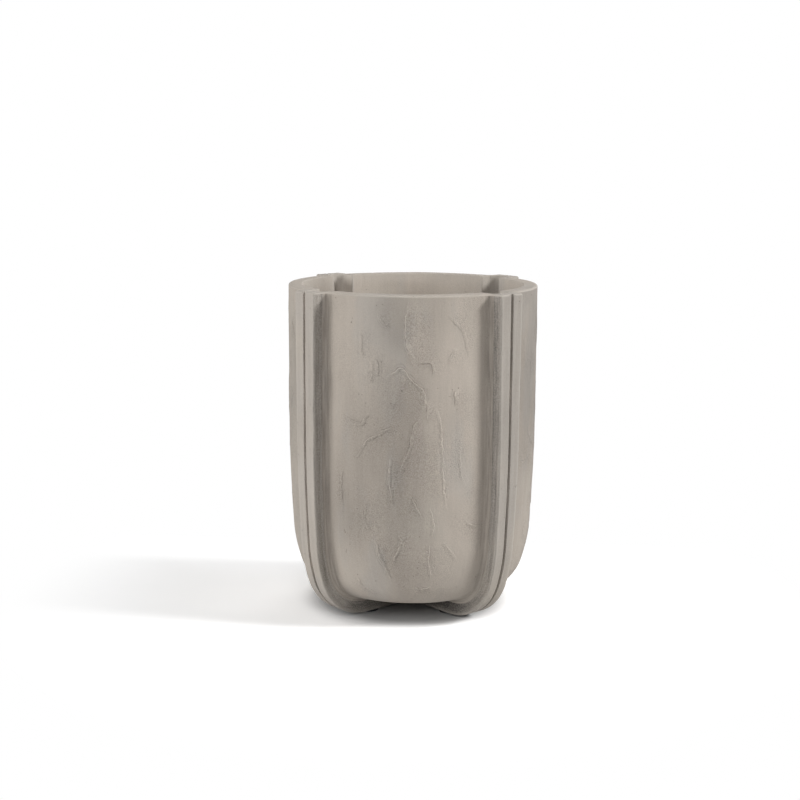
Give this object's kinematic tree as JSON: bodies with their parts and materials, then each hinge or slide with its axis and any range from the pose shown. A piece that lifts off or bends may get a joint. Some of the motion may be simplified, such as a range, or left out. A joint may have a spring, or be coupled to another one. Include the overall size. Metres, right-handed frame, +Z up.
{
  "type": "urn vase",
  "caption": "Round concrete urn vase with upright grooved ribs that curve under the body as its feet, open at the top.",
  "frame": {"origin": "on the floor plane under the foot pads, on the vessel's vertical axis", "axes": "+Z up along the vessel's axis, -Y towards the front panel, +X towards the right panel; the ribs stand at 45 degrees between the axes"},
  "size_m": [0.38, 0.38, 0.5],
  "materials": {
    "cast_concrete": "warm grey, hand-trowelled skim coat, matt",
    "raw_concrete": "plain cast concrete, matt",
    "pad_rubber": "matt black"
  },
  "bodies": {
    "root": {"wall_front": "cast_concrete", "wall_right": "cast_concrete", "wall_back": "cast_concrete", "wall_left": "cast_concrete", "rib_front_right": "cast_concrete", "rib_back_right": "cast_concrete", "rib_back_left": "cast_concrete", "rib_front_left": "cast_concrete", "base_plate": "raw_concrete", "foot_hub": "raw_concrete", "pad_front_right": "pad_rubber", "pad_back_right": "pad_rubber", "pad_back_left": "pad_rubber", "pad_front_left": "pad_rubber"}
  },
  "joints": []
}
